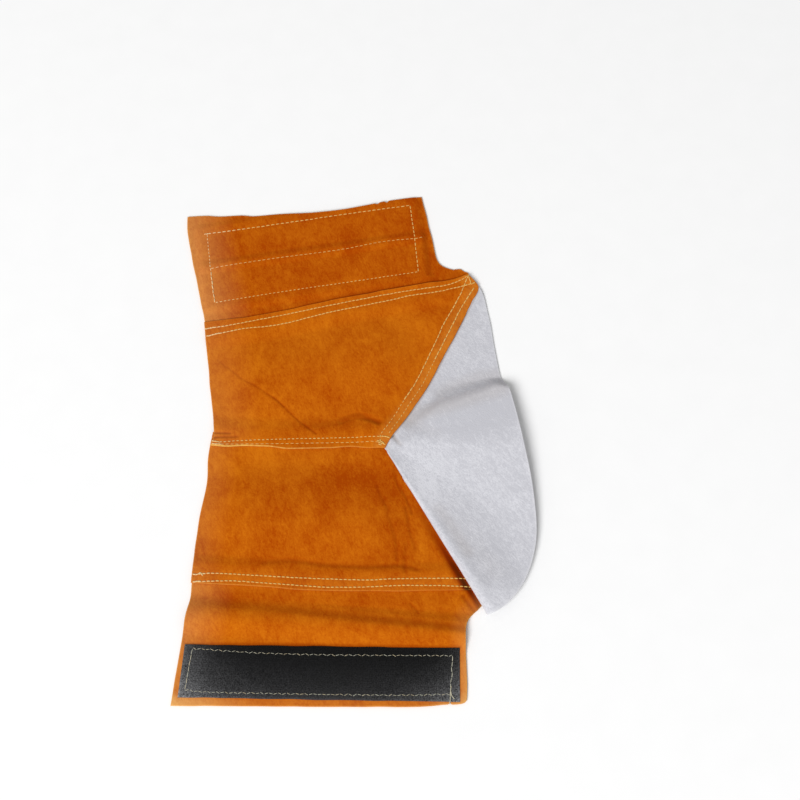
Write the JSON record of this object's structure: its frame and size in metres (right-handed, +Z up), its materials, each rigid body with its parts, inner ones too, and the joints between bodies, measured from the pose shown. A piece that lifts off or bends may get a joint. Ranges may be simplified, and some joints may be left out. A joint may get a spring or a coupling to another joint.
{
  "type": "welding spat",
  "caption": "Leather welding spat lying opened out: sewn quarters, a grey vamp flap over the foot, and hook-and-loop closures that wrap round the ankle over a boot.",
  "frame": {"origin": "on the surface that the spat lies on, under the middle of its box", "axes": "+Z up and out of the leather's outside, +X down the leg towards the toe, +Y round the leg from the hook end to the loop end"},
  "size_m": [0.3, 0.4544, 0.0135],
  "materials": {
    "golden_suede": "matte split suede",
    "grey_suede": "matte split suede",
    "black_tape": "woven hook and loop tape"
  },
  "bodies": {
    "root": {"closure_loop": "golden_suede", "closure_hook": "golden_suede", "quarter_loop": "golden_suede", "quarter_hook": "golden_suede", "vamp": "grey_suede", "hook_tape": "black_tape", "loop_tape_inner": "black_tape", "loop_tape_outer": "black_tape"}
  },
  "joints": []
}
